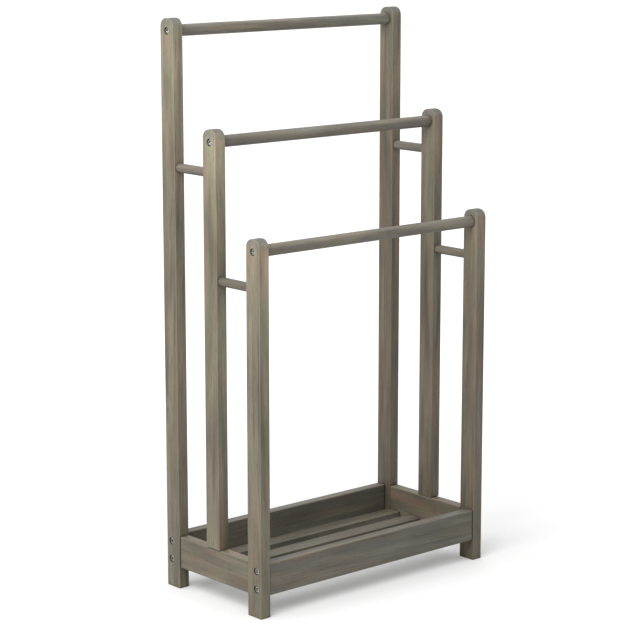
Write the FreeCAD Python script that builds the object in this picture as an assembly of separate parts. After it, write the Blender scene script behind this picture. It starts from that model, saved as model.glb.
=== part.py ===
import FreeCAD, Part
import math
import os

# Free-standing wooden towel rack with three stepped bars and a slatted tray.
# Millimetres. +Z is up, +X is to the right, the low front bar faces -Y.
# The origin is on the floor, at the middle of the footprint.

# ---------------------------------------------------------------- overall size
OVERALL_WIDTH = 528.0
OVERALL_DEPTH = 259.0
BACK_POST_TOP = 1000.0
MIDDLE_POST_TOP = 821.0
FRONT_POST_TOP = 650.0

# ----------------------------------------------------------------------- posts
POST_WIDTH = 21.0
POST_DEPTH = 35.0
POST_TOP_RADIUS = 15.0
POST_EDGE_RADIUS = 1.3
POST_FOOT_CHAMFER = 1.0

# ------------------------------------------------------------------ tray rails
RAIL_BOTTOM = 38.0
RAIL_HEIGHT = 57.0
RAIL_THICKNESS = 19.0
RAIL_RECESS = 2.0
RAIL_EDGE_RADIUS = 2.2
RAIL_END_CHAMFER = 1.6

# ----------------------------------------------------------------- shelf slats
SLAT_COUNT = 4
SLAT_WIDTH = 31.0
SLAT_THICKNESS = 12.0
SLAT_GAP = 24.0
SLAT_EDGE_RADIUS = 1.5
SLAT_END_CHAMFER = 0.5

# ----------------------------------------------------- towel bars and spacers
BAR_DIAMETER = 20.5
BAR_BELOW_POST_TOP = 21.5
BAR_SOCKET_DEPTH = 5.0
BAR_SOCKET_CLEARANCE = 0.2
BAR_END_CHAMFER = 0.8
SPACER_DIAMETER = 16.0
SPACER_SOCKET_DEPTH = 10.0
SPACER_SOCKET_CLEARANCE = 0.1
UPPER_SPACER_HEIGHT = 747.0
LOWER_SPACER_HEIGHT = 565.5

# ------------------------------------------------------------- bolts and nuts
BOLT_DIAMETER = 6.0
BOLT_BORE_DIAMETER = 6.6
BOLT_HEAD_DIAMETER = 11.0
BOLT_HEAD_HEIGHT = 3.0
BOLT_HEAD_CHAMFER = 0.6
BOLT_SOCKET_ACROSS_FLATS = 6.0
BOLT_SOCKET_DEPTH = 2.4
BOLT_THREAD_ENGAGEMENT = 19.0
COUNTERBORE_DIAMETER = 13.0
COUNTERBORE_DEPTH = 5.0
RAIL_BOLT_INSET = 12.5
RAIL_BOLT_SPACING = 32.0
INSERT_DIAMETER = 10.0
INSERT_LENGTH = 15.0
INSERT_THREAD_CLEARANCE = 0.05
INSERT_BORE_DEPTH = 24.0

# ----------------------------------------------------------- wooden dowel pins
FRAME_PIN_DIAMETER = 8.0
FRAME_PIN_DEPTH = 15.0
FRAME_PIN_CHAMFER = 0.8
SIDE_RAIL_PIN_SPACING = 28.0
MIDDLE_POST_PIN_SPACING = 16.0
SLAT_PIN_DIAMETER = 6.0
SLAT_PIN_DEPTH_IN_RAIL = 12.0
SLAT_PIN_DEPTH_IN_SLAT = 18.0
SLAT_PIN_CHAMFER = 0.6
SLAT_PIN_SPACING = 14.0
PIN_BORE_CLEARANCE = 0.1

# ------------------------------------------------------------ places worked out
SIDES = {"left": -1.0, "right": 1.0}
OUTER_FACE_X = OVERALL_WIDTH / 2.0
INNER_FACE_X = OUTER_FACE_X - POST_WIDTH
POST_CENTRE_X = OUTER_FACE_X - POST_WIDTH / 2.0
CORNER_POST_Y = (OVERALL_DEPTH - POST_DEPTH) / 2.0
SIDE_RAIL_HALF_LENGTH = OVERALL_DEPTH / 2.0 - POST_DEPTH
RAIL_TOP = RAIL_BOTTOM + RAIL_HEIGHT
RAIL_MIDDLE_Z = RAIL_BOTTOM + RAIL_HEIGHT / 2.0
RAIL_BOLT_Y = OVERALL_DEPTH / 2.0 - RAIL_BOLT_INSET
SLAT_MIDDLE_Z = RAIL_BOTTOM + SLAT_THICKNESS / 2.0

POSTS = {
    "front": {"y": -CORNER_POST_Y, "bottom": 0.0, "top": FRONT_POST_TOP},
    "middle": {"y": 0.0, "bottom": RAIL_TOP, "top": MIDDLE_POST_TOP},
    "back": {"y": CORNER_POST_Y, "bottom": 0.0, "top": BACK_POST_TOP},
}
SPACERS = {
    "upper": {"front": "middle", "back": "back", "z": UPPER_SPACER_HEIGHT},
    "lower": {"front": "front", "back": "middle", "z": LOWER_SPACER_HEIGHT},
}


def point(x, y, z):
    return FreeCAD.Vector(x, y, z)


def box(low, high):
    """A block between two opposite corners."""
    return Part.makeBox(high.x - low.x, high.y - low.y, high.z - low.z, low)


def cylinder(start, direction, diameter, length):
    return Part.makeCylinder(diameter / 2.0, length, start, direction)


def pin(start, direction, diameter, length, chamfer):
    """A round pin with both end rims chamfered."""
    body = cylinder(start, direction, diameter, length)
    rims = [edge for edge in body.Edges if edge.Curve.TypeId == "Part::GeomCircle"]
    return body.makeChamfer(chamfer, rims)


def runs_along(edge, axis):
    """True where a straight edge runs along the axis with this index."""
    start = edge.Vertexes[0].Point
    end = edge.Vertexes[-1].Point
    return all(abs(start[i] - end[i]) < 1e-6 for i in range(3) if i != axis)


def extent(edge, axis):
    """How far an edge reaches along the axis with this index."""
    bounds = edge.BoundBox
    return (bounds.XLength, bounds.YLength, bounds.ZLength)[axis]


def board(low, high, length_axis, edge_radius, end_chamfer):
    """A sawn board with its four long edges rounded over and both ends eased."""
    blank = box(low, high)
    long_edges = [edge for edge in blank.Edges if runs_along(edge, length_axis)]
    rounded = blank.makeFillet(edge_radius, long_edges)
    end_edges = [edge for edge in rounded.Edges if extent(edge, length_axis) < 1e-6]
    return rounded.makeChamfer(end_chamfer, end_edges)


def export(name, shape):
    shape.exportStep("parts/" + name + ".step")


# ------------------------------------------------------------ where things go
def bar_height(row):
    return POSTS[row]["top"] - BAR_BELOW_POST_TOP


def rail_bolt_heights():
    half = RAIL_BOLT_SPACING / 2.0
    return [RAIL_MIDDLE_Z - half, RAIL_MIDDLE_Z + half]


def slat_centres():
    """Y of each slat, spread evenly about the middle of the tray."""
    pitch = SLAT_WIDTH + SLAT_GAP
    first = -pitch * (SLAT_COUNT - 1) / 2.0
    return [first + pitch * i for i in range(SLAT_COUNT)]


def bar_bolt_places():
    """Side sign, Y and Z of the bolt at each end of each towel bar."""
    return [(sign, POSTS[row]["y"], bar_height(row)) for sign in SIDES.values() for row in POSTS]


def rail_bolt_places():
    """Side sign, Y and Z of the two bolts at each end of the front and back rails."""
    return [
        (sign, y, z)
        for sign in SIDES.values()
        for y in (-RAIL_BOLT_Y, RAIL_BOLT_Y)
        for z in rail_bolt_heights()
    ]


def side_rail_pin_places():
    """Side sign, post sign along Y, and Z of the pins from the side rails to the corner posts."""
    half = SIDE_RAIL_PIN_SPACING / 2.0
    return [
        (sign, end, z)
        for sign in SIDES.values()
        for end in (-1.0, 1.0)
        for z in (RAIL_MIDDLE_Z - half, RAIL_MIDDLE_Z + half)
    ]


def middle_post_pin_offsets():
    half = MIDDLE_POST_PIN_SPACING / 2.0
    return (-half, half)


def slat_pin_ys(slat_y):
    half = SLAT_PIN_SPACING / 2.0
    return (slat_y - half, slat_y + half)


# ------------------------------------------------------------- holes and bores
def bolt_hole(sign, y, z):
    """Counterbored clearance hole from a post's outer face to its inner face."""
    inward = point(-sign, 0, 0)
    outer = point(sign * OUTER_FACE_X, y, z)
    bore = cylinder(outer, inward, BOLT_BORE_DIAMETER, POST_WIDTH)
    return bore.fuse(cylinder(outer, inward, COUNTERBORE_DIAMETER, COUNTERBORE_DEPTH))


def bar_socket(sign, y, z):
    """Shallow round socket in a post's inner face that locates a bar end."""
    start = point(sign * INNER_FACE_X, y, z)
    diameter = BAR_DIAMETER + 2.0 * BAR_SOCKET_CLEARANCE
    return cylinder(start, point(sign, 0, 0), diameter, BAR_SOCKET_DEPTH)


def insert_bore(sign, end_x, y, z):
    """Blind bore for an insert nut in the end grain of a bar or rail."""
    return cylinder(point(sign * end_x, y, z), point(-sign, 0, 0), INSERT_DIAMETER, INSERT_BORE_DEPTH)


def spacer_socket(sign, y, z, direction):
    diameter = SPACER_DIAMETER + 2.0 * SPACER_SOCKET_CLEARANCE
    start = point(sign * POST_CENTRE_X, y, z)
    return cylinder(start, point(0, direction, 0), diameter, SPACER_SOCKET_DEPTH)


def side_rail_pin_bore(sign, end, z):
    """Bore for a side rail pin, through both the rail end and the post face."""
    start = point(sign * POST_CENTRE_X, end * (SIDE_RAIL_HALF_LENGTH - FRAME_PIN_DEPTH), z)
    diameter = FRAME_PIN_DIAMETER + 2.0 * PIN_BORE_CLEARANCE
    return cylinder(start, point(0, end, 0), diameter, 2.0 * FRAME_PIN_DEPTH)


def middle_post_pin_bore(sign, y):
    """Bore for a middle post pin, through both the rail top and the post foot."""
    start = point(sign * POST_CENTRE_X, y, RAIL_TOP - FRAME_PIN_DEPTH)
    diameter = FRAME_PIN_DIAMETER + 2.0 * PIN_BORE_CLEARANCE
    return cylinder(start, point(0, 0, 1), diameter, 2.0 * FRAME_PIN_DEPTH)


def slat_pin_bore(sign, y):
    """Bore for a slat pin, through both the slat end and the side rail face."""
    start = point(sign * (INNER_FACE_X - SLAT_PIN_DEPTH_IN_SLAT), y, SLAT_MIDDLE_Z)
    diameter = SLAT_PIN_DIAMETER + 2.0 * PIN_BORE_CLEARANCE
    length = SLAT_PIN_DEPTH_IN_SLAT + SLAT_PIN_DEPTH_IN_RAIL
    return cylinder(start, point(sign, 0, 0), diameter, length)


# ------------------------------------------------------------------ side frames
def post_blank(sign, row):
    """A post with a rounded top, eased edges and a chamfered foot."""
    place = POSTS[row]
    low_y = place["y"] - POST_DEPTH / 2.0
    high_y = place["y"] + POST_DEPTH / 2.0
    low_x = sign * POST_CENTRE_X - POST_WIDTH / 2.0
    high_x = low_x + POST_WIDTH
    blank = box(point(low_x, low_y, place["bottom"]), point(high_x, high_y, place["top"]))
    top_edges = [e for e in blank.Edges if runs_along(e, 0) and e.Vertexes[0].Z > place["top"] - 1e-6]
    rounded = blank.makeFillet(POST_TOP_RADIUS, top_edges)
    rim = [e for e in rounded.Edges if extent(e, 0) < 1e-6 and e.BoundBox.ZMax > place["bottom"] + 1e-6]
    eased = rounded.makeFillet(POST_EDGE_RADIUS, rim)
    foot = [e for e in eased.Edges if e.BoundBox.ZMax < place["bottom"] + 1e-6]
    return eased.makeChamfer(POST_FOOT_CHAMFER, foot)


def make_post(sign, row):
    place = POSTS[row]
    holes = [bolt_hole(sign, place["y"], bar_height(row)), bar_socket(sign, place["y"], bar_height(row))]
    for spacer in SPACERS.values():
        if spacer["front"] == row:
            holes.append(spacer_socket(sign, place["y"] + POST_DEPTH / 2.0, spacer["z"], -1.0))
        if spacer["back"] == row:
            holes.append(spacer_socket(sign, place["y"] - POST_DEPTH / 2.0, spacer["z"], 1.0))
    if row == "middle":
        holes += [middle_post_pin_bore(sign, y) for y in middle_post_pin_offsets()]
    else:
        end = math.copysign(1.0, place["y"])
        holes += [bolt_hole(sign, end * RAIL_BOLT_Y, z) for z in rail_bolt_heights()]
        holes += [side_rail_pin_bore(*pin_place) for pin_place in side_rail_pin_places()
                  if pin_place[0] == sign and pin_place[1] == end]
    return post_blank(sign, row).cut(holes)


def make_side_rail(sign):
    outer = OUTER_FACE_X - RAIL_RECESS
    inner = outer - RAIL_THICKNESS
    low_x = min(sign * outer, sign * inner)
    low = point(low_x, -SIDE_RAIL_HALF_LENGTH, RAIL_BOTTOM)
    high = point(low_x + RAIL_THICKNESS, SIDE_RAIL_HALF_LENGTH, RAIL_TOP)
    holes = [side_rail_pin_bore(*place) for place in side_rail_pin_places() if place[0] == sign]
    holes += [middle_post_pin_bore(sign, y) for y in middle_post_pin_offsets()]
    holes += [slat_pin_bore(sign, y) for slat_y in slat_centres() for y in slat_pin_ys(slat_y)]
    return board(low, high, 1, RAIL_EDGE_RADIUS, RAIL_END_CHAMFER).cut(holes)


def make_spacer(sign, spacer):
    """A round spacer glued into blind sockets in two posts."""
    start_y = POSTS[spacer["front"]]["y"] + POST_DEPTH / 2.0 - SPACER_SOCKET_DEPTH
    end_y = POSTS[spacer["back"]]["y"] - POST_DEPTH / 2.0 + SPACER_SOCKET_DEPTH
    start = point(sign * POST_CENTRE_X, start_y, spacer["z"])
    return cylinder(start, point(0, 1, 0), SPACER_DIAMETER, end_y - start_y)


# --------------------------------------------------------- bars, rails and slats
def make_towel_bar(row):
    half_length = INNER_FACE_X + BAR_SOCKET_DEPTH
    y = POSTS[row]["y"]
    z = bar_height(row)
    body = pin(point(-half_length, y, z), point(1, 0, 0), BAR_DIAMETER, 2.0 * half_length, BAR_END_CHAMFER)
    return body.cut([insert_bore(sign, half_length, y, z) for sign in SIDES.values()])


def make_long_rail(end):
    """The front rail (end -1) or the back rail (end +1)."""
    outer = OVERALL_DEPTH / 2.0 - RAIL_RECESS
    inner = outer - RAIL_THICKNESS
    low_y = min(end * outer, end * inner)
    low = point(-INNER_FACE_X, low_y, RAIL_BOTTOM)
    high = point(INNER_FACE_X, low_y + RAIL_THICKNESS, RAIL_TOP)
    bores = [insert_bore(sign, INNER_FACE_X, end * RAIL_BOLT_Y, z)
             for sign in SIDES.values() for z in rail_bolt_heights()]
    return board(low, high, 0, RAIL_EDGE_RADIUS, RAIL_END_CHAMFER).cut(bores)


def make_slat(y):
    low = point(-INNER_FACE_X, y - SLAT_WIDTH / 2.0, RAIL_BOTTOM)
    high = point(INNER_FACE_X, y + SLAT_WIDTH / 2.0, RAIL_BOTTOM + SLAT_THICKNESS)
    bores = [slat_pin_bore(sign, pin_y) for sign in SIDES.values() for pin_y in slat_pin_ys(y)]
    return board(low, high, 0, SLAT_EDGE_RADIUS, SLAT_END_CHAMFER).cut(bores)


# --------------------------------------------------------------------- fixings
def make_bolt(sign, y, z, grip):
    """A socket-head bolt from the counterbore floor inwards; grip is the wood it passes through."""
    inward = point(-sign, 0, 0)
    outward = point(sign, 0, 0)
    seat = point(sign * (OUTER_FACE_X - COUNTERBORE_DEPTH), y, z)
    head = cylinder(seat, outward, BOLT_HEAD_DIAMETER, BOLT_HEAD_HEIGHT)
    crown = seat + outward * BOLT_HEAD_HEIGHT
    rim = [e for e in head.Edges if extent(e, 0) < 1e-6 and abs(e.BoundBox.XMax - crown.x) < 1e-6]
    head = head.makeChamfer(BOLT_HEAD_CHAMFER, rim)
    shank = cylinder(seat, inward, BOLT_DIAMETER, grip + BOLT_THREAD_ENGAGEMENT)
    corner_radius = BOLT_SOCKET_ACROSS_FLATS / math.sqrt(3.0)
    angles = [math.pi * i / 3.0 for i in range(7)]
    corners = [
        crown + point(0, corner_radius * math.cos(angle), corner_radius * math.sin(angle))
        for angle in angles
    ]
    socket = Part.Face(Part.makePolygon(corners)).extrude(inward * BOLT_SOCKET_DEPTH)
    return head.fuse(shank).removeSplitter().cut(socket)


def make_insert_nut(sign, end_x, y, z):
    """A threaded steel insert, flush with the end grain it is driven into."""
    start = point(sign * end_x, y, z)
    inward = point(-sign, 0, 0)
    bore_diameter = BOLT_DIAMETER + 2.0 * INSERT_THREAD_CLEARANCE
    body = cylinder(start, inward, INSERT_DIAMETER, INSERT_LENGTH)
    return body.cut(cylinder(start, inward, bore_diameter, INSERT_LENGTH))


def make_bar_bolts():
    grip = POST_WIDTH - COUNTERBORE_DEPTH - BAR_SOCKET_DEPTH
    return Part.makeCompound([make_bolt(sign, y, z, grip) for sign, y, z in bar_bolt_places()])


def make_rail_bolts():
    grip = POST_WIDTH - COUNTERBORE_DEPTH
    return Part.makeCompound([make_bolt(sign, y, z, grip) for sign, y, z in rail_bolt_places()])


def make_insert_nuts():
    bar_end_x = INNER_FACE_X + BAR_SOCKET_DEPTH
    nuts = [make_insert_nut(sign, bar_end_x, y, z) for sign, y, z in bar_bolt_places()]
    nuts += [make_insert_nut(sign, INNER_FACE_X, y, z) for sign, y, z in rail_bolt_places()]
    return Part.makeCompound(nuts)


def make_frame_dowel_pins():
    """Pins from the side rails to the corner posts, and from the middle posts to the side rails."""
    length = 2.0 * FRAME_PIN_DEPTH
    pins = []
    for sign, end, z in side_rail_pin_places():
        start = point(sign * POST_CENTRE_X, end * (SIDE_RAIL_HALF_LENGTH - FRAME_PIN_DEPTH), z)
        pins.append(pin(start, point(0, end, 0), FRAME_PIN_DIAMETER, length, FRAME_PIN_CHAMFER))
    for sign in SIDES.values():
        for y in middle_post_pin_offsets():
            start = point(sign * POST_CENTRE_X, y, RAIL_TOP - FRAME_PIN_DEPTH)
            pins.append(pin(start, point(0, 0, 1), FRAME_PIN_DIAMETER, length, FRAME_PIN_CHAMFER))
    return Part.makeCompound(pins)


def make_slat_dowel_pins():
    length = SLAT_PIN_DEPTH_IN_SLAT + SLAT_PIN_DEPTH_IN_RAIL
    pins = []
    for sign in SIDES.values():
        for slat_y in slat_centres():
            for y in slat_pin_ys(slat_y):
                start = point(sign * (INNER_FACE_X - SLAT_PIN_DEPTH_IN_SLAT), y, SLAT_MIDDLE_Z)
                pins.append(pin(start, point(sign, 0, 0), SLAT_PIN_DIAMETER, length, SLAT_PIN_CHAMFER))
    return Part.makeCompound(pins)


for side, side_sign in SIDES.items():
    for post_row in POSTS:
        export(side + "_" + post_row + "_post", make_post(side_sign, post_row))
    for level, spacer_place in SPACERS.items():
        export(side + "_" + level + "_spacer", make_spacer(side_sign, spacer_place))
    export(side + "_side_rail", make_side_rail(side_sign))

for bar_row in POSTS:
    export(bar_row + "_towel_bar", make_towel_bar(bar_row))

export("front_rail", make_long_rail(-1.0))
export("back_rail", make_long_rail(1.0))

for number, slat_y_centre in enumerate(slat_centres(), start=1):
    export("shelf_slat_" + str(number), make_slat(slat_y_centre))

export("bar_bolts", make_bar_bolts())
export("rail_bolts", make_rail_bolts())
export("insert_nuts", make_insert_nuts())
export("frame_dowel_pins", make_frame_dowel_pins())
export("slat_dowel_pins", make_slat_dowel_pins())
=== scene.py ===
import math
import random

import bpy
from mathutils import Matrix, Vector


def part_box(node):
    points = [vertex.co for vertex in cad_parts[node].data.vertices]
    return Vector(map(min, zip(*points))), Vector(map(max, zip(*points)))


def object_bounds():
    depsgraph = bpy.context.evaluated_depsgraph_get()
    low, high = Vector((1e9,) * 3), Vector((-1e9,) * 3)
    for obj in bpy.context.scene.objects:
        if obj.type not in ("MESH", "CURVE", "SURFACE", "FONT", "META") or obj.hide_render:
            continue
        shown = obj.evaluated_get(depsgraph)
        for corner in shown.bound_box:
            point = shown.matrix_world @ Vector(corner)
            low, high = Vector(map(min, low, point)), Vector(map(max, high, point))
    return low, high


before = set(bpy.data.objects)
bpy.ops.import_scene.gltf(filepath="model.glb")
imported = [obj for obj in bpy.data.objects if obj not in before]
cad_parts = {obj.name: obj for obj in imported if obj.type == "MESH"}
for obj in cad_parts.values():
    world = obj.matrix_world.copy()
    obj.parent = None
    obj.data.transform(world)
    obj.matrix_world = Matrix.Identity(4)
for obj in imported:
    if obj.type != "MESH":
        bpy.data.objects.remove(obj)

# Free-standing wooden towel rack in metres, in the CAD frame: +Z up, +X right, front bar at -Y.
# Every visible piece is a CAD node. This script gives each one its material and sets up a studio.

cad_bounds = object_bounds()
MM = 0.001
RANDOM_SEED = 20
WHITE = (1.0, 1.0, 1.0, 1.0)

# ---------------------------------------------------------------- camera and studio
CAMERA_AZIMUTH = math.radians(-41.33)
CAMERA_ELEVATION = math.radians(11.3)
CAMERA_DISTANCE = 3.900
CAMERA_LENS = 124.22
CAMERA_SENSOR = 36.0
CAMERA_AIM_OFFSET = Vector((-0.0177, 0.0, -0.0342))

# The floor glows a little, for the camera only, and more so far from the rack.
FLOOR_SIZE = 120.0
FLOOR_COLOUR = (0.60, 0.60, 0.60, 1.0)
FLOOR_ROUGHNESS = 0.9
FLOOR_GLOW_NEAR = 0.20
FLOOR_GLOW_FAR = 0.50
GLOW_NEAR_RADIUS = 0.35
GLOW_FAR_RADIUS = 1.3

SKY_AT_HORIZON = 0.30
SKY_OVERHEAD = 1.40
SKY_FALLOFF = 1.5
KEY_STRENGTH = 0.7
KEY_SOFTNESS = math.radians(60.0)
KEY_AZIMUTH = math.radians(-115.0)
KEY_ELEVATION = math.radians(48.0)
FILL_STRENGTH = 0.45
FILL_SOFTNESS = math.radians(90.0)
FILL_AZIMUTH = math.radians(120.0)
FILL_ELEVATION = math.radians(35.0)
SOFTBOX_POWER = 35.0
SOFTBOX_SIZE = 1.2
SOFTBOX_PLACE = Vector((-1.5, -0.6, 1.8))
SOFTBOX_AIM = Vector((0.0, 0.0, 0.75))

# ------------------------------------------------------- wood colours, grain and wear
# Linear albedo of the stained wood, from the dark latewood lines to the pale earlywood.
LATEWOOD = (0.100, 0.083, 0.056, 1.0)
MIDWOOD = (0.158, 0.136, 0.096, 1.0)
EARLYWOOD = (0.198, 0.175, 0.125, 1.0)
WARM_STAIN = (0.202, 0.143, 0.098, 1.0)
OLIVE_STAIN = (0.146, 0.148, 0.095, 1.0)
GREY_STAIN = (0.134, 0.127, 0.110, 1.0)
WORN_EDGE = (0.240, 0.214, 0.160, 1.0)
PORE_COLOUR = (0.045, 0.038, 0.028, 1.0)
END_GRAIN = (0.109, 0.106, 0.095, 1.0)
SOAKED_TOP = (0.147, 0.151, 0.139, 1.0)
# The colour painted into joints and recesses as shade.
HOLLOW_SHADE_COLOUR = (0.036, 0.030, 0.023, 1.0)
BEECH_STOPS = [
    (0.35, (0.42, 0.29, 0.17, 1.0)),
    (0.50, (0.60, 0.45, 0.29, 1.0)),
    (0.66, (0.70, 0.55, 0.38, 1.0)),
]

# Cells of noise in a metre: twice across the grain, then along it.
WAVE_CELLS = (16.0, 16.0, 2.2)
STREAK_CELLS = (130.0, 130.0, 3.0)
FIBRE_CELLS = (950.0, 950.0, 16.0)
PORE_CELLS = (1500.0, 1500.0, 60.0)
PATCH_CELLS = (75.0, 75.0, 8.0)
CLOUD_CELLS = (45.0, 45.0, 6.0)

# Over a SPAN of a noise's values an effect goes from none to all. END_GRAIN_SPAN is of how far a
# face points along the grain, and HOLLOW_SPAN of how open a place is.
PATCH_SPAN = (0.42, 0.64)
GREY_PATCH_SPAN = (0.25, 0.60)
PORE_SPAN = (0.62, 0.70)
FIBRE_SPAN = (0.30, 0.72)
FIBRE_TONES = (0.84, 1.14)
CLOUD_SPAN = (0.3, 0.7)
CLOUD_TONES = (0.74, 1.26)
END_GRAIN_SPAN = (0.40, 0.95)
# HOLLOW_SPAN sets the painted shade in hollows.
HOLLOW_SPAN = (0.85, 0.35)

# The tree's pith lies this many millimetres to the side of a piece, and up to PITH_SLIDE metres
# along it. The grain runs off the piece's length by up to GRAIN_TILT degrees.
PITH_NEAREST = 24.0
PITH_FARTHEST = 46.0
PITH_SLIDE = 3.0
GRAIN_TILT = 1.6

# A knot lies up to KNOT_OFFSET millimetres off the middle, and KNOT_SLIDE of the way to an end.
RING_SPACING = 5.5 * MM
RING_BEND = (22.0 * MM, 22.0 * MM, 0.0)
RINGS_ROUND_KNOT = 2.2
KNOT_SHRINK = (60.0, 60.0, 20.0)
KNOT_OFFSET = 8.0
KNOT_SLIDE = 0.7
FIGURE_MIDDLE = 0.49
FIGURE_REACH = 0.17
PORE_STRENGTH = 0.5

# An arris is rubbed the most within WEAR_FULL of its edge, and not at all past WEAR_WIDTH.
WEAR_WIDTH = 2.2 * MM
WEAR_FULL = 0.2 * MM
WEAR_RAGGEDNESS = 3.0 * MM
WEAR_STRENGTH = 0.45
# Painted shade darkens joints and recesses within CORNER_SHADE_REACH, and seams within
# SEAM_SHADE_REACH.
CORNER_SHADE_REACH = 8.0 * MM
CORNER_SHADE_STRENGTH = 0.55
SEAM_SHADE_REACH = 3.0 * MM
SEAM_SHADE_STRENGTH = 0.95
END_GRAIN_STRENGTH = 0.85

# SPECULAR, COAT and ROUGHNESS are the Principled shader's own, and RELIEF is a share of the bump.
WOOD_SATIN_SPAN = (0.45, 1.05)
WOOD_ROUGHNESS = (0.40, 0.62)
PORE_ROUGHNESS = 0.2
WOOD_SPECULAR = 0.42
WOOD_COAT = 0.10
WOOD_COAT_ROUGHNESS = 0.32
RING_RELIEF = 0.35
FIBRE_RELIEF = 0.45
PORE_RELIEF = 0.35

# Painted light: a post is palest down to TOP_HIGHLIGHT_START below its top, and its own tone from
# TOP_HIGHLIGHT_LENGTH on.
POST_TOP_RADIUS = 15.0 * MM
TOP_HIGHLIGHT_START = 20.0 * MM
TOP_HIGHLIGHT_LENGTH = 260.0 * MM
SOAKED_LENGTH = 20.0 * MM
SOAKED_STRENGTH = 0.55

# The most of each stain in a patch, the depth of tone, the contrast of the growth rings and, for
# the posts, how much paler their tops are painted, which is painted light. The right-hand posts
# come from a browner board, and their lower depth is painted shade.
POST_TONES = {
    "left": {"warmth": 0.75, "olive": 0.70, "depth": 0.90, "top_highlight": 1.58, "contrast": 1.5},
    "right": {"warmth": 1.0, "olive": 0.45, "depth": 0.73, "top_highlight": 1.42, "contrast": 1.5},
}
SPACER_TONE = {"warmth": 0.4, "olive": 0.4, "depth": 0.85, "grey": 0.5, "contrast": 1.3}
SIDE_RAIL_TONE = {"warmth": 0.8, "olive": 0.5, "depth": 0.87, "contrast": 1.5}
BAR_TONE = {"warmth": 0.4, "olive": 0.4, "depth": 0.96, "grey": 0.8, "contrast": 1.3}
LONG_RAIL_TONE = {"warmth": 0.5, "olive": 0.4, "depth": 0.84, "grey": 0.8, "contrast": 1.7}
SLAT_TONE = {"warmth": 0.35, "olive": 0.4, "depth": 0.78, "grey": 0.5, "contrast": 1.3}

# ------------------------------------------------------- steel colours and plating
ZINC_BRIGHT = (0.62, 0.62, 0.60, 1.0)
ZINC_DULL = (0.36, 0.36, 0.35, 1.0)
YELLOW_ZINC_BRIGHT = (0.78, 0.70, 0.48, 1.0)
YELLOW_ZINC_DULL = (0.50, 0.46, 0.34, 1.0)
CRYSTAL_CELLS = (1600.0, 1600.0, 1600.0)
SCRATCH_CELLS = (900.0, 4200.0, 500.0)
TARNISH_CELLS = (160.0, 160.0, 160.0)
TARNISH_SPAN = (0.40, 0.68)
MOTTLE_TONES = (0.90, 1.05)
STEEL_ROUGH_SPAN = (0.35, 0.68)
STEEL_ROUGHNESS = (0.32, 0.54)
# Painted shade darkens the steel's sockets and recesses within STEEL_SHADE_REACH.
STEEL_SHADE_REACH = 2.5 * MM
STEEL_SHADE_STRENGTH = 0.85


# ------------------------------------------------------------------- node helpers
def add(tree, kind, inputs=(), **settings):
    """Adds a shader node. inputs holds (socket name or number, value or output socket) pairs."""
    node = tree.nodes.new(kind)
    for name, value in settings.items():
        setattr(node, name, value)
    for key, value in inputs:
        if isinstance(value, bpy.types.NodeSocket):
            tree.links.new(value, node.inputs[key])
        else:
            node.inputs[key].default_value = value
    return node


def calc(tree, operation, *values):
    """A Math node's result."""
    return add(tree, "ShaderNodeMath", enumerate(values), operation=operation).outputs[0]


def weighted(tree, first, first_weight, second, second_weight):
    """The weighted sum of two numbers."""
    first_part = calc(tree, "MULTIPLY", first, first_weight)
    second_part = calc(tree, "MULTIPLY", second, second_weight)
    return calc(tree, "ADD", first_part, second_part)


def vector_calc(tree, operation, *values):
    """A Vector Math node's vector result."""
    return add(tree, "ShaderNodeVectorMath", enumerate(values), operation=operation).outputs[0]


def length(tree, vector):
    """A vector's length."""
    return add(tree, "ShaderNodeVectorMath", [(0, vector)], operation="LENGTH").outputs["Value"]


def split(tree, vector):
    """A vector's or colour's three parts."""
    return add(tree, "ShaderNodeSeparateXYZ", [(0, vector)]).outputs


def noise(tree, vector, scale, detail=2.0, roughness=0.5):
    """Noise whose cells measure 1/scale along each axis."""
    stretched = vector_calc(tree, "MULTIPLY", vector, scale)
    inputs = (("Vector", stretched), ("Scale", 1.0), ("Detail", detail), ("Roughness", roughness))
    return add(tree, "ShaderNodeTexNoise", inputs)


def remap(tree, value, from_low, from_high, to_low=0.0, to_high=1.0, smooth=False):
    """A number moved from one range to another, and held inside it."""
    inputs = enumerate((value, from_low, from_high, to_low, to_high))
    kind = "SMOOTHSTEP" if smooth else "LINEAR"
    return add(tree, "ShaderNodeMapRange", inputs, interpolation_type=kind, clamp=True).outputs[0]


def blend(tree, factor, first, second, mode="MIX"):
    """A colour mix of first towards second."""
    inputs = ((0, factor), (6, first), (7, second))
    return add(tree, "ShaderNodeMix", inputs, data_type="RGBA", blend_type=mode).outputs[2]


def shaded(tree, colour, tone):
    """A colour multiplied by a number."""
    tone_colour = add(tree, "ShaderNodeCombineXYZ", [(i, tone) for i in range(3)]).outputs[0]
    return blend(tree, 1.0, colour, tone_colour, "MULTIPLY")


def ramp(tree, value, stops):
    """A colour ramp through (place, colour) stops."""
    node = add(tree, "ShaderNodeValToRGB", [(0, value)])
    elements = node.color_ramp.elements
    while len(elements) < len(stops):
        elements.new(0.5)
    for element, (place, colour) in zip(elements, stops):
        element.position = place
        element.color = colour
    return node.outputs[0]


def add_bump(tree, shader, height, strength, distance):
    """Surface relief up to distance high."""
    inputs = [("Height", height), ("Strength", strength), ("Distance", distance)]
    tree.links.new(add(tree, "ShaderNodeBump", inputs).outputs[0], shader.inputs["Normal"])


def new_material(name):
    """An empty material with its tree, Principled shader and texture coordinates."""
    material = bpy.data.materials.new(name)
    material.use_nodes = True
    tree = material.node_tree
    tree.nodes.clear()
    shader = add(tree, "ShaderNodeBsdfPrincipled")
    add(tree, "ShaderNodeOutputMaterial", [("Surface", shader.outputs[0])])
    coordinates = add(tree, "ShaderNodeTexCoord")
    return material, tree, shader, coordinates


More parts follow.
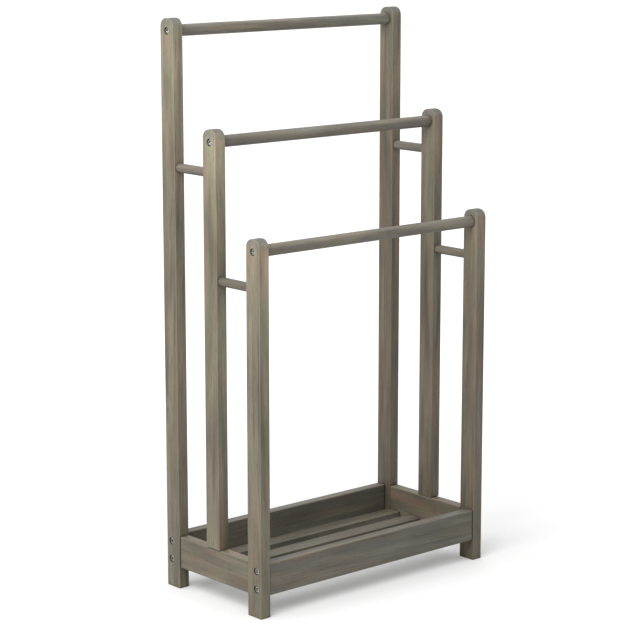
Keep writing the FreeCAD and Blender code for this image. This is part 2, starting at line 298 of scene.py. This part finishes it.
def scaled(colour, factor):
    """A fixed colour made lighter or darker."""
    return (colour[0] * factor, colour[1] * factor, colour[2] * factor, 1.0)


def painted_hollow_shade(tree, reach, most):
    """Painted shade: darkens joints, sockets and recesses up to reach wide, by how enclosed they
    are.
    """
    hollow = add(tree, "ShaderNodeAmbientOcclusion", [("Distance", reach)], samples=6)
    return remap(tree, hollow.outputs["AO"], *HOLLOW_SPAN, 0.0, most)


# ----------------------------------------------------------------------- the wood
def board_space(tree, coordinates, low, high):
    """Place from the board's centre, with the grain turned to run along Z, and the long axis."""
    centre = (low + high) / 2.0
    size = high - low
    axis = max(range(3), key=lambda i: size[i])
    parts = split(tree, vector_calc(tree, "SUBTRACT", coordinates.outputs["Object"], centre))
    order = ((axis + 1) % 3, (axis + 2) % 3, axis)
    turned = add(tree, "ShaderNodeCombineXYZ", [(i, parts[order[i]]) for i in range(3)])
    return turned.outputs[0], axis


def edge_distance(tree, coordinates, low, high, top_radius):
    """Distance from the nearest long edge or end rim of a board, measured over its surface."""
    centre = (low + high) / 2.0
    half = (high - low) / 2.0
    offset = vector_calc(tree, "SUBTRACT", coordinates.outputs["Object"], centre)
    inside = vector_calc(tree, "SUBTRACT", half, vector_calc(tree, "ABSOLUTE", offset))
    across, deep, along = split(tree, inside)
    if top_radius > 0.0:
        height = split(tree, offset)[2]
        side = calc(tree, "MAXIMUM", calc(tree, "SUBTRACT", top_radius, deep), 0.0)
        rise = calc(tree, "MAXIMUM", calc(tree, "SUBTRACT", height, half.z - top_radius), 0.0)
        squares = calc(tree, "ADD", calc(tree, "POWER", side, 2.0), calc(tree, "POWER", rise, 2.0))
        deep = calc(tree, "SUBTRACT", top_radius, calc(tree, "SQRT", squares))
        along = calc(tree, "ADD", height, half.z)
    nearer = calc(tree, "MINIMUM", across, deep)
    farther = calc(tree, "MAXIMUM", across, deep)
    return calc(tree, "MAXIMUM", nearer, calc(tree, "MINIMUM", farther, along))


def place_in_log(tree, board, rng):
    """Place from the tree's pith, which lies outside the piece and a little off its length."""
    angle = rng.uniform(0.0, 2.0 * math.pi)
    pith_distance = rng.uniform(PITH_NEAREST, PITH_FARTHEST) * MM
    pith = Vector((math.cos(angle), math.sin(angle), 0.0)) * pith_distance
    pith.z = rng.uniform(-PITH_SLIDE, PITH_SLIDE)
    tilt_x = math.radians(rng.uniform(-GRAIN_TILT, GRAIN_TILT))
    tilt_y = math.radians(rng.uniform(-GRAIN_TILT, GRAIN_TILT))
    inputs = [("Vector", board), ("Location", pith), ("Rotation", (tilt_x, tilt_y, 0.0))]
    return add(tree, "ShaderNodeMapping", inputs).outputs[0]


def knot_bulge(tree, board, half_length, rng):
    """A soft hump that bends the rings round a small knot, at a chance place along the board."""
    across = rng.uniform(-KNOT_OFFSET, KNOT_OFFSET) * MM
    deep = rng.uniform(-KNOT_OFFSET, KNOT_OFFSET) * MM
    place = Vector((across, deep, rng.uniform(-KNOT_SLIDE, KNOT_SLIDE) * half_length))
    offset = vector_calc(tree, "SUBTRACT", board, place)
    distance = length(tree, vector_calc(tree, "MULTIPLY", offset, KNOT_SHRINK))
    return remap(tree, distance, 1.0, 0.0, 0.0, 1.0, smooth=True)


def growth_rings(tree, grain, board, half_length, rng):
    """The grain bent by slow waves, and the rings by distance from the pith, bent by a knot too."""
    waves = noise(tree, grain, WAVE_CELLS, detail=2.0)
    bend = vector_calc(tree, "SUBTRACT", waves.outputs["Color"], (0.5, 0.5, 0.5))
    bent = vector_calc(tree, "ADD", grain, vector_calc(tree, "MULTIPLY", bend, RING_BEND))
    radius = length(tree, vector_calc(tree, "MULTIPLY", bent, (1.0, 1.0, 0.0)))
    knot = knot_bulge(tree, board, half_length, rng)
    from_pith = calc(tree, "DIVIDE", radius, RING_SPACING)
    ring_place = calc(tree, "ADD", from_pith, calc(tree, "MULTIPLY", knot, RINGS_ROUND_KNOT))
    inputs = (("W", ring_place), ("Scale", 1.0), ("Detail", 3.0), ("Roughness", 0.6))
    rings = add(tree, "ShaderNodeTexNoise", inputs, noise_dimensions="1D").outputs[0]
    return bent, rings


def stain_patches(tree, colour, bent, warmth, olive, grey, depth):
    """The stain took unevenly, in long soft patches."""
    patches = noise(tree, bent, PATCH_CELLS, detail=2.0, roughness=0.45).outputs["Color"]
    patch = split(tree, patches)
    warm = remap(tree, patch[0], *PATCH_SPAN, 0.0, warmth, smooth=True)
    colour = blend(tree, warm, colour, scaled(WARM_STAIN, depth))
    green = remap(tree, patch[1], *PATCH_SPAN, 0.0, olive, smooth=True)
    colour = blend(tree, green, colour, scaled(OLIVE_STAIN, depth))
    if grey > 0.0:
        cold = remap(tree, patch[2], *GREY_PATCH_SPAN, 0.0, grey)
        colour = blend(tree, cold, colour, scaled(GREY_STAIN, depth))
    return colour


def post_top(tree, colour, tone, board, height, top_highlight):
    """A post is painted paler towards its top, as painted light, and the stain has soaked in greyer
    at the very end.
    """
    below_top = calc(tree, "SUBTRACT", height / 2.0, split(tree, board)[2])
    paler = remap(tree, below_top, TOP_HIGHLIGHT_START, TOP_HIGHLIGHT_LENGTH, top_highlight, 1.0, smooth=True)
    colour = shaded(tree, colour, calc(tree, "MULTIPLY", tone, paler))
    soaked_start = SOAKED_LENGTH / 3.0
    soaked = remap(tree, below_top, soaked_start, SOAKED_LENGTH, SOAKED_STRENGTH, 0.0, smooth=True)
    return blend(tree, soaked, colour, SOAKED_TOP)


def rubbed_edges(tree, colour, distance, streaks, depth):
    """Sanded arrises, where the stain has rubbed thin."""
    ragged = calc(tree, "MULTIPLY", calc(tree, "SUBTRACT", streaks, 0.5), WEAR_RAGGEDNESS)
    edge = calc(tree, "ADD", distance, ragged)
    rub = remap(tree, edge, WEAR_WIDTH, WEAR_FULL, 0.0, WEAR_STRENGTH, smooth=True)
    return blend(tree, rub, colour, scaled(WORN_EDGE, depth))


def stained_wood(node, warmth, olive, depth, grey=0.0, contrast=1.0, top_highlight=1.0,
                 top_radius=0.0, worn=True):
    """Stained wood with the grain along the piece; top_radius is the rounding of a post's top."""
    seed = RANDOM_SEED + sum(ord(letter) * (i + 1) for i, letter in enumerate(node))
    rng = random.Random(seed)
    material, tree, shader, coordinates = new_material("StainedWood_" + node)
    low, high = (Vector(corner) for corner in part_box(node))
    board, axis = board_space(tree, coordinates, low, high)
    grain = place_in_log(tree, board, rng)
    bent, rings = growth_rings(tree, grain, board, (high - low)[axis] / 2.0, rng)

    # Fibres, from broad streaks down to single pores.
    streaks = noise(tree, bent, STREAK_CELLS, detail=3.0, roughness=0.55).outputs[0]
    fibres = noise(tree, grain, FIBRE_CELLS, detail=3.0, roughness=0.65).outputs[0]
    pores = remap(tree, noise(tree, grain, PORE_CELLS, detail=1.0).outputs[0], *PORE_SPAN)
    cloud = noise(tree, grain, CLOUD_CELLS, detail=2.0).outputs[0]

    figure = weighted(tree, rings, 0.5, streaks, 0.5)
    reach = FIGURE_REACH / contrast
    stops = [
        (FIGURE_MIDDLE - reach, scaled(LATEWOOD, depth)),
        (FIGURE_MIDDLE, scaled(MIDWOOD, depth)),
        (FIGURE_MIDDLE + reach, scaled(EARLYWOOD, depth)),
    ]
    colour = ramp(tree, figure, stops)
    colour = stain_patches(tree, colour, bent, warmth, olive, grey, depth)
    fibre_tone = remap(tree, fibres, *FIBRE_SPAN, *FIBRE_TONES)
    cloud_tone = remap(tree, cloud, *CLOUD_SPAN, *CLOUD_TONES)
    tone = calc(tree, "MULTIPLY", fibre_tone, cloud_tone)
    if top_radius > 0.0:
        colour = post_top(tree, colour, tone, board, (high - low).z, top_highlight)
    else:
        colour = shaded(tree, colour, tone)
    colour = blend(tree, calc(tree, "MULTIPLY", pores, PORE_STRENGTH), colour, PORE_COLOUR)

    # The short grain of the ends takes the stain evenly.
    facing_end = calc(tree, "ABSOLUTE", split(tree, coordinates.outputs["Normal"])[axis])
    end_mask = remap(tree, facing_end, *END_GRAIN_SPAN, 0.0, END_GRAIN_STRENGTH, smooth=True)
    colour = blend(tree, end_mask, colour, scaled(END_GRAIN, depth))
    if worn:
        distance = edge_distance(tree, coordinates, low, high, top_radius)
        colour = rubbed_edges(tree, colour, distance, streaks, depth)
    # Painted shade: ambient-occlusion masks darken joints, seams and recesses.
    corners = painted_hollow_shade(tree, CORNER_SHADE_REACH, CORNER_SHADE_STRENGTH)
    seams = painted_hollow_shade(tree, SEAM_SHADE_REACH, SEAM_SHADE_STRENGTH)
    colour = blend(tree, calc(tree, "MAXIMUM", corners, seams), colour, HOLLOW_SHADE_COLOUR)
    tree.links.new(colour, shader.inputs["Base Color"])

    satin = calc(tree, "ADD", fibres, calc(tree, "MULTIPLY", cloud, 0.5))
    satin = remap(tree, satin, *WOOD_SATIN_SPAN, *WOOD_ROUGHNESS)
    roughness = calc(tree, "ADD", satin, calc(tree, "MULTIPLY", pores, PORE_ROUGHNESS))
    tree.links.new(roughness, shader.inputs["Roughness"])
    relief = weighted(tree, rings, RING_RELIEF, fibres, FIBRE_RELIEF)
    relief = calc(tree, "SUBTRACT", relief, calc(tree, "MULTIPLY", pores, PORE_RELIEF))
    add_bump(tree, shader, relief, strength=0.45, distance=0.5 * MM)
    shader.inputs["Specular IOR Level"].default_value = WOOD_SPECULAR
    shader.inputs["Coat Weight"].default_value = WOOD_COAT
    shader.inputs["Coat Roughness"].default_value = WOOD_COAT_ROUGHNESS
    return material


def bare_wood(name):
    """Plain beech for the hidden dowel pins."""
    material, tree, shader, coordinates = new_material(name)
    place = coordinates.outputs["Object"]
    flecks = noise(tree, place, (400.0, 400.0, 400.0), detail=3.0, roughness=0.6).outputs[0]
    cloud = noise(tree, place, (60.0, 60.0, 60.0), detail=2.0).outputs[0]
    colour = ramp(tree, weighted(tree, flecks, 0.6, cloud, 0.4), BEECH_STOPS)
    tree.links.new(colour, shader.inputs["Base Color"])
    tree.links.new(remap(tree, flecks, 0.3, 0.7, 0.55, 0.75), shader.inputs["Roughness"])
    add_bump(tree, shader, flecks, strength=0.3, distance=0.2 * MM)
    return material


# ---------------------------------------------------------------------- the steel
def plated_steel(name, bright, dull):
    """Zinc plating: a fine crystalline mottle, light scratches and duller patches."""
    material, tree, shader, coordinates = new_material(name)
    place = coordinates.outputs["Object"]
    cells = vector_calc(tree, "MULTIPLY", place, CRYSTAL_CELLS)
    crystals = add(tree, "ShaderNodeTexVoronoi", [("Vector", cells), ("Scale", 1.0)], feature="F1")
    mottle = split(tree, crystals.outputs["Color"])[0]
    scratches = noise(tree, place, SCRATCH_CELLS, detail=2.0).outputs[0]
    tarnish = noise(tree, place, TARNISH_CELLS, detail=3.0, roughness=0.6).outputs[0]
    colour = blend(tree, remap(tree, tarnish, *TARNISH_SPAN), bright, dull)
    colour = shaded(tree, colour, remap(tree, mottle, 0.0, 1.0, *MOTTLE_TONES))
    # Painted shade: sockets and recesses darkened by ambient occlusion.
    hollow_shade = painted_hollow_shade(tree, STEEL_SHADE_REACH, STEEL_SHADE_STRENGTH)
    colour = blend(tree, hollow_shade, colour, HOLLOW_SHADE_COLOUR)
    tree.links.new(colour, shader.inputs["Base Color"])
    rough = weighted(tree, tarnish, 0.7, scratches, 0.3)
    rough = remap(tree, rough, *STEEL_ROUGH_SPAN, *STEEL_ROUGHNESS)
    tree.links.new(rough, shader.inputs["Roughness"])
    add_bump(tree, shader, scratches, strength=0.25, distance=0.05 * MM)
    shader.inputs["Metallic"].default_value = 1.0
    return material


# ------------------------------------------------------------- give out materials
def paint(node, material):
    """Gives a CAD node its material."""
    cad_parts[node].material_slots[0].material = material


for side in ("left", "right"):
    for row in ("back", "middle", "front"):
        name = side + "_" + row + "_post"
        paint(name, stained_wood(name, **POST_TONES[side], top_radius=POST_TOP_RADIUS))
    for level in ("upper", "lower"):
        name = side + "_" + level + "_spacer"
        paint(name, stained_wood(name, **SPACER_TONE, worn=False))
    name = side + "_side_rail"
    paint(name, stained_wood(name, **SIDE_RAIL_TONE))

for row in ("back", "middle", "front"):
    name = row + "_towel_bar"
    paint(name, stained_wood(name, **BAR_TONE, worn=False))

for name in ("front_rail", "back_rail"):
    paint(name, stained_wood(name, **LONG_RAIL_TONE))

slats = sorted(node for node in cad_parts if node.startswith("shelf_slat_"))
for name in slats:
    paint(name, stained_wood(name, **SLAT_TONE))

zinc = plated_steel("ZincPlate", ZINC_BRIGHT, ZINC_DULL)
for name in ("bar_bolts", "rail_bolts"):
    paint(name, zinc)
paint("insert_nuts", plated_steel("YellowZincPlate", YELLOW_ZINC_BRIGHT, YELLOW_ZINC_DULL))

beech = bare_wood("BareBeech")
for name in ("frame_dowel_pins", "slat_dowel_pins"):
    paint(name, beech)


# --------------------------------------------------------------------- the studio
def direction(azimuth, elevation):
    """Unit vector towards a camera or light; azimuth 0 is in front, at -Y, and 90 is at +X."""
    flat = math.cos(elevation)
    return Vector((math.sin(azimuth) * flat, -math.cos(azimuth) * flat, math.sin(elevation)))


def into_scene(name, data):
    """A new object in the scene that holds data."""
    thing = bpy.data.objects.new(name, data)
    bpy.context.scene.collection.objects.link(thing)
    return thing


def make_floor():
    """A plain pale floor that fades to white away from the rack."""
    half = FLOOR_SIZE / 2.0
    corners = [(-half, -half, 0.0), (half, -half, 0.0), (half, half, 0.0), (-half, half, 0.0)]
    mesh = bpy.data.meshes.new("Floor")
    mesh.from_pydata(corners, [], [(0, 1, 2, 3)])
    floor = into_scene("Floor", mesh)
    material = bpy.data.materials.new("StudioFloor")
    material.use_nodes = True
    tree = material.node_tree
    shader = tree.nodes["Principled BSDF"]
    shader.inputs["Base Color"].default_value = FLOOR_COLOUR
    shader.inputs["Roughness"].default_value = FLOOR_ROUGHNESS
    shader.inputs["Specular IOR Level"].default_value = 0.0
    shader.inputs["Emission Color"].default_value = WHITE
    distance = length(tree, add(tree, "ShaderNodeTexCoord").outputs["Object"])
    glow_range = (GLOW_NEAR_RADIUS, GLOW_FAR_RADIUS, FLOOR_GLOW_NEAR, FLOOR_GLOW_FAR)
    glow = remap(tree, distance, *glow_range, smooth=True)
    seen = add(tree, "ShaderNodeLightPath").outputs["Is Camera Ray"]
    tree.links.new(calc(tree, "MULTIPLY", seen, glow), shader.inputs["Emission Strength"])
    mesh.materials.append(material)


def make_far_light(name, strength, softness, azimuth, elevation):
    """A broad soft light from far away."""
    light = bpy.data.lights.new(name, "SUN")
    light.energy = strength
    light.angle = softness
    lamp = into_scene(name, light)
    lamp.rotation_euler = direction(azimuth, elevation).to_track_quat("Z", "Y").to_euler()


def make_softbox():
    """A nearer lamp high on the left, so that the tops of the posts are a little brighter."""
    light = bpy.data.lights.new("Softbox", "AREA")
    light.energy = SOFTBOX_POWER
    light.size = SOFTBOX_SIZE
    lamp = into_scene("Softbox", light)
    lamp.location = SOFTBOX_PLACE
    lamp.rotation_euler = (SOFTBOX_PLACE - SOFTBOX_AIM).to_track_quat("Z", "Y").to_euler()


def make_sky():
    """A white studio ceiling whose light fades towards the horizon; the camera sees plain white."""
    world = bpy.data.worlds.new("StudioSky")
    world.use_nodes = True
    tree = world.node_tree
    height = split(tree, add(tree, "ShaderNodeTexCoord").outputs["Generated"])[2]
    rise = calc(tree, "POWER", calc(tree, "MAXIMUM", height, 0.0), SKY_FALLOFF)
    strength = remap(tree, rise, 0.0, 1.0, SKY_AT_HORIZON, SKY_OVERHEAD)
    seen = add(tree, "ShaderNodeLightPath").outputs["Is Camera Ray"]
    strength = calc(tree, "MAXIMUM", strength, seen)
    background = tree.nodes["Background"]
    background.inputs["Color"].default_value = WHITE
    tree.links.new(strength, background.inputs["Strength"])
    bpy.context.scene.world = world


def make_camera():
    """The camera, which looks near the middle of the rack."""
    low, high = (Vector(corner) for corner in cad_bounds)
    aim = (low + high) / 2.0 + CAMERA_AIM_OFFSET
    towards = direction(CAMERA_AZIMUTH, CAMERA_ELEVATION)
    camera = into_scene("Camera", bpy.data.cameras.new("Camera"))
    camera.data.lens = CAMERA_LENS
    camera.data.sensor_width = CAMERA_SENSOR
    camera.data.clip_end = FLOOR_SIZE
    camera.location = aim + towards * CAMERA_DISTANCE
    camera.rotation_euler = towards.to_track_quat("Z", "Y").to_euler()
    bpy.context.scene.camera = camera


make_floor()
make_far_light("KeyLight", KEY_STRENGTH, KEY_SOFTNESS, KEY_AZIMUTH, KEY_ELEVATION)
make_far_light("FillLight", FILL_STRENGTH, FILL_SOFTNESS, FILL_AZIMUTH, FILL_ELEVATION)
make_softbox()
make_sky()
make_camera()
bpy.context.scene.view_settings.view_transform = "Standard"
